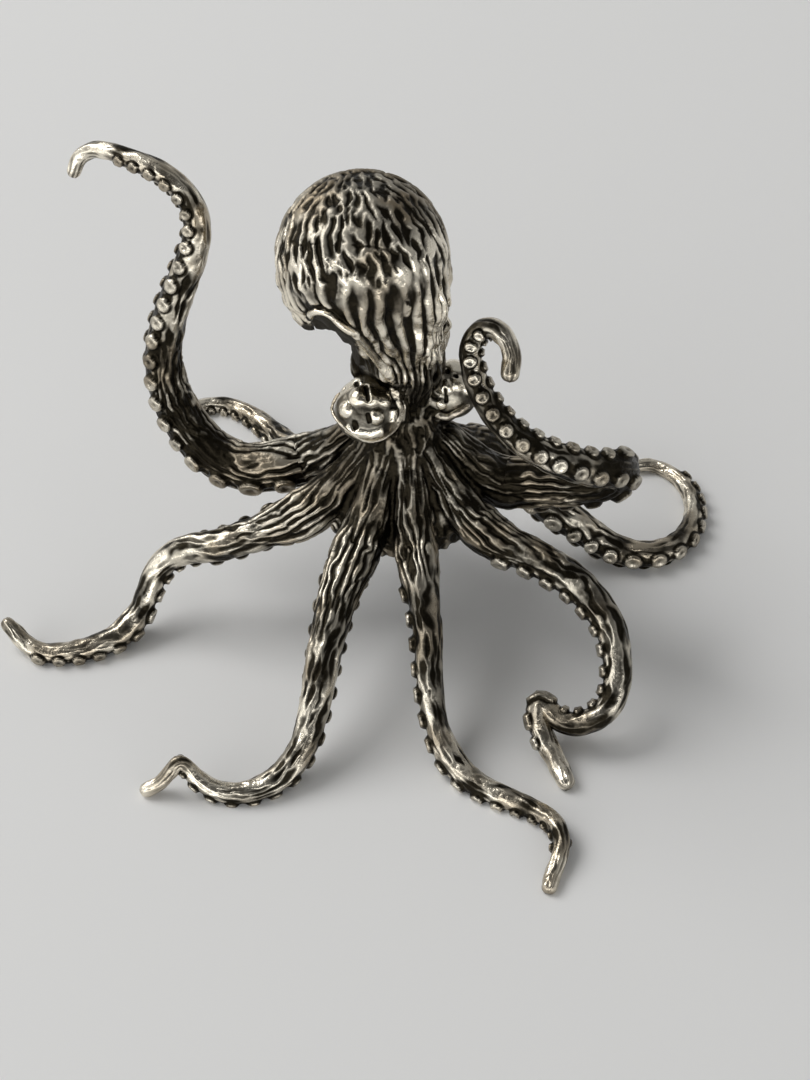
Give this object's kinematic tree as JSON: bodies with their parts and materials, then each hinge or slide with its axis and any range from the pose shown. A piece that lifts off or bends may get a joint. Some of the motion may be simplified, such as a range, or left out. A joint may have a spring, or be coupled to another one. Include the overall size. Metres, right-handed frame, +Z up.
{
  "type": "octopus figurine",
  "caption": "Cast silver octopus ornament with a leaning bulb-shaped mantle, beaded eyes and long curling arms with suckers; stands on its arms.",
  "frame": {"origin": "middle of the figurine's footprint box, on the table it stands on", "axes": "+Z up; -Y towards the viewer who faces the figurine; +X to the viewer's right, the long way of its arms' spread"},
  "size_m": [0.09, 0.0836, 0.061],
  "materials": {
    "mantle": "cast silver, oxidised dark in the hollows, rubbed bright on the ridges",
    "head_and_web": "cast silver, oxidised dark in the hollows, rubbed bright on the ridges",
    "left_eye": "polished silver bead with dark pits",
    "right_eye": "polished silver bead with dark pits, slightly warm",
    "arm_back_left": "cast silver, heavily oxidised",
    "arm_raised_left": "cast silver with bark-like ridges, oxidised in the hollows",
    "arm_left": "cast silver, oxidised in the hollows, polished near the tip",
    "arm_front_left": "cast silver, oxidised in the hollows, polished near the tip",
    "arm_front_right": "cast silver, oxidised in the hollows, polished near the tip",
    "arm_right_front": "cast silver, oxidised in the hollows, polished near the tip",
    "arm_raised_right": "cast silver with bright suckers on a dark underside",
    "arm_back_right": "cast silver, oxidised in the hollows"
  },
  "bodies": {
    "root": {"mantle": "mantle", "head_and_web": "head_and_web", "left_eye": "left_eye", "right_eye": "right_eye", "arm_back_left": "arm_back_left", "arm_raised_left": "arm_raised_left", "arm_left": "arm_left", "arm_front_left": "arm_front_left", "arm_front_right": "arm_front_right", "arm_right_front": "arm_right_front", "arm_raised_right": "arm_raised_right", "arm_back_right": "arm_back_right"}
  },
  "joints": []
}
